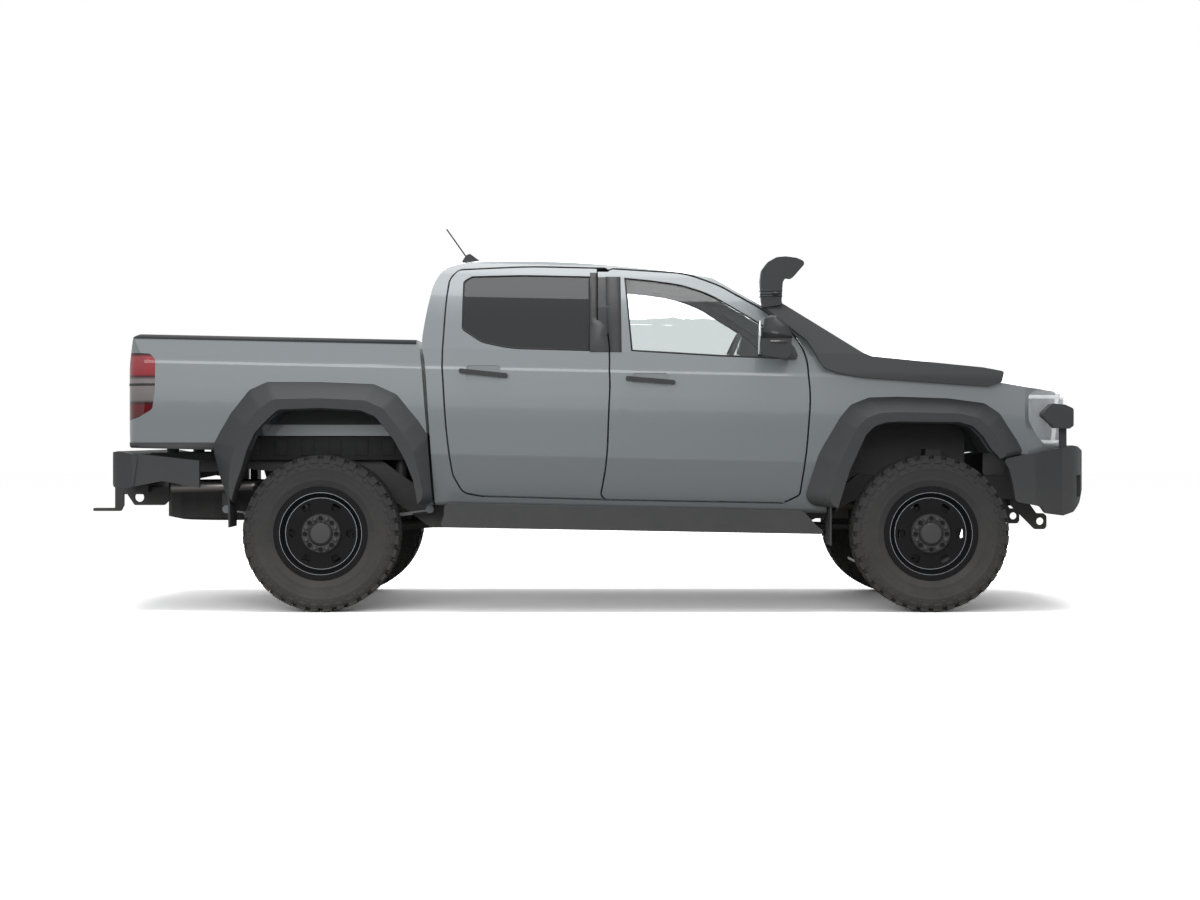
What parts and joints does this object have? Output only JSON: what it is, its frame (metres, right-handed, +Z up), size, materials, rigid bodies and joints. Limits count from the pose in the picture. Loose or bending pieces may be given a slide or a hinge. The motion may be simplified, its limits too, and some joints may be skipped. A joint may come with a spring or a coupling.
{
  "type": "lifted off-road pickup truck",
  "caption": "Lifted off-road 4x4 pickup with a double cab, an open load bed, flared arches, all-terrain tyres, steel rims, snorkel, side steps and heavy bumpers.",
  "frame": {"origin": "centre of the bounding box at floor level, under the tyres, without counting anything else", "axes": "+X forward towards the bonnet, +Y to the left of the truck, +Z up"},
  "size_m": [5.6126, 2.307, 2.1347],
  "materials": {
    "body_paint": "smooth cool grey paint under clear coat",
    "clear_glass": "clear, lightly tinted",
    "privacy_glass": "dark tinted",
    "black_plastic": "fine-grained charcoal",
    "tyre_rubber": "matt black",
    "black_steel": "gloss black",
    "frame_steel": "satin black chassis paint",
    "spring_steel": "satin grey",
    "cast_metal": "rough cast",
    "exhaust_steel": "dull",
    "skid_metal": "brushed",
    "lamp_lens": "clear lens over a dark reflector",
    "red_lens": "red lens",
    "seat_fabric": "woven charcoal cloth"
  },
  "bodies": {
    "truck": {"cab_shell": "body_paint", "cab_glass": "clear_glass", "headlamps": "lamp_lens", "grille_panel": "black_plastic", "front_wings": "body_paint", "load_bed": "body_paint", "tail_lamps": "red_lens", "wheel_flares": "black_plastic", "ladder_frame": "frame_steel", "recovery_eyes": "frame_steel", "front_arms": "frame_steel", "steering_rack": "cast_metal", "front_drive": "cast_metal", "rear_axle": "cast_metal", "springs_and_dampers": "spring_steel", "front_bumper": "black_plastic", "driving_lamps": "black_plastic", "snorkel": "black_plastic", "side_steps": "black_plastic", "wheel_liners": "black_plastic", "rear_bumper": "black_plastic", "tow_tongue": "frame_steel", "aerial": "black_plastic", "powertrain": "cast_metal", "prop_shafts": "frame_steel", "exhaust": "exhaust_steel", "fuel_tank": "frame_steel", "skid_plate": "skid_metal", "spare_wheel": "tyre_rubber", "front_seats": "seat_fabric", "rear_bench": "seat_fabric", "dashboard": "black_plastic"},
    "front_door_left": {"front_door_left": "body_paint", "front_glass_left": "clear_glass", "front_fittings_left": "black_plastic"},
    "rear_door_left": {"rear_door_left": "body_paint", "rear_glass_left": "privacy_glass", "rear_handle_left": "black_plastic"},
    "knuckle_left": {"knuckle_left": "cast_metal"},
    "wheel_front_left": {"tyre_front_left": "tyre_rubber", "rim_front_left": "black_steel"},
    "wheel_rear_left": {"tyre_rear_left": "tyre_rubber", "rim_rear_left": "black_steel"},
    "front_door_right": {"front_door_right": "body_paint", "front_glass_right": "clear_glass", "front_fittings_right": "black_plastic"},
    "rear_door_right": {"rear_door_right": "body_paint", "rear_glass_right": "privacy_glass", "rear_handle_right": "black_plastic"},
    "knuckle_right": {"knuckle_right": "cast_metal"},
    "wheel_front_right": {"tyre_front_right": "tyre_rubber", "rim_front_right": "black_steel"},
    "wheel_rear_right": {"tyre_rear_right": "tyre_rubber", "rim_rear_right": "black_steel"},
    "bonnet": {"bonnet": "body_paint"},
    "tailgate": {"tailgate": "body_paint"},
    "tie_rods": {"tie_rods": "frame_steel"},
    "steering_wheel": {"steering_wheel": "black_plastic"}
  },
  "joints": [
    {"name": "front_door_left_hinge", "type": "hinge", "parent": "truck", "child": "front_door_left", "pos_m": [1.15485, 0.904, 1.07393], "axis": [0, 0, -1], "range_deg": [0, 65]},
    {"name": "rear_door_left_hinge", "type": "hinge", "parent": "truck", "child": "rear_door_left", "pos_m": [0.08229, 0.904, 1.07393], "axis": [0, 0, -1], "range_deg": [0, 65]},
    {"name": "front_door_right_hinge", "type": "hinge", "parent": "truck", "child": "front_door_right", "pos_m": [1.15485, -0.904, 1.07393], "axis": [0, 0, 1], "range_deg": [0, 65]},
    {"name": "rear_door_right_hinge", "type": "hinge", "parent": "truck", "child": "rear_door_right", "pos_m": [0.08229, -0.904, 1.07393], "axis": [0, 0, 1], "range_deg": [0, 65]},
    {"name": "bonnet_hinge", "type": "hinge", "parent": "truck", "child": "bonnet", "pos_m": [1.55576, 0, 1.37486], "axis": [0, -1, 0], "range_deg": [0, 50]},
    {"name": "tailgate_hinge", "type": "hinge", "parent": "truck", "child": "tailgate", "pos_m": [-2.43852, 0, 0.92], "axis": [0, -1, 0], "range_deg": [0, 90]},
    {"name": "steer_left", "type": "hinge", "parent": "truck", "child": "knuckle_left", "pos_m": [1.87404, 0.79, 0.421], "axis": [0, 0, 1], "range_deg": [-32, 32]},
    {"name": "spin_front_left", "type": "hinge", "parent": "knuckle_left", "child": "wheel_front_left", "pos_m": [1.87404, 0.855, 0.421], "axis": [0, 1, 0], "continuous": true},
    {"name": "spin_rear_left", "type": "hinge", "parent": "truck", "child": "wheel_rear_left", "pos_m": [-1.39596, 0.855, 0.421], "axis": [0, 1, 0], "continuous": true},
    {"name": "steer_right", "type": "hinge", "parent": "truck", "child": "knuckle_right", "pos_m": [1.87404, -0.79, 0.421], "axis": [0, 0, 1], "range_deg": [-32, 32]},
    {"name": "spin_front_right", "type": "hinge", "parent": "knuckle_right", "child": "wheel_front_right", "pos_m": [1.87404, -0.855, 0.421], "axis": [0, 1, 0], "continuous": true},
    {"name": "spin_rear_right", "type": "hinge", "parent": "truck", "child": "wheel_rear_right", "pos_m": [-1.39596, -0.855, 0.421], "axis": [0, 1, 0], "continuous": true},
    {"name": "rack_slide", "type": "slide", "parent": "truck", "child": "tie_rods", "axis": [0, 1, 0], "range_m": [-0.0667, 0.0667]},
    {"name": "steering_wheel_turn", "type": "hinge", "parent": "truck", "child": "steering_wheel", "pos_m": [0.84726, 0.37, 1.37772], "axis": [-0.9135, 0, 0.4067], "range_deg": [-450, 450]}
  ],
  "couplings": [
    {"joint": "steer_right", "follows": "steer_left", "ratio": 1},
    {"joint": "rack_slide", "follows": "steer_left", "m_per_rad": 0.1186},
    {"joint": "steering_wheel_turn", "follows": "steer_left", "ratio": 14}
  ]
}
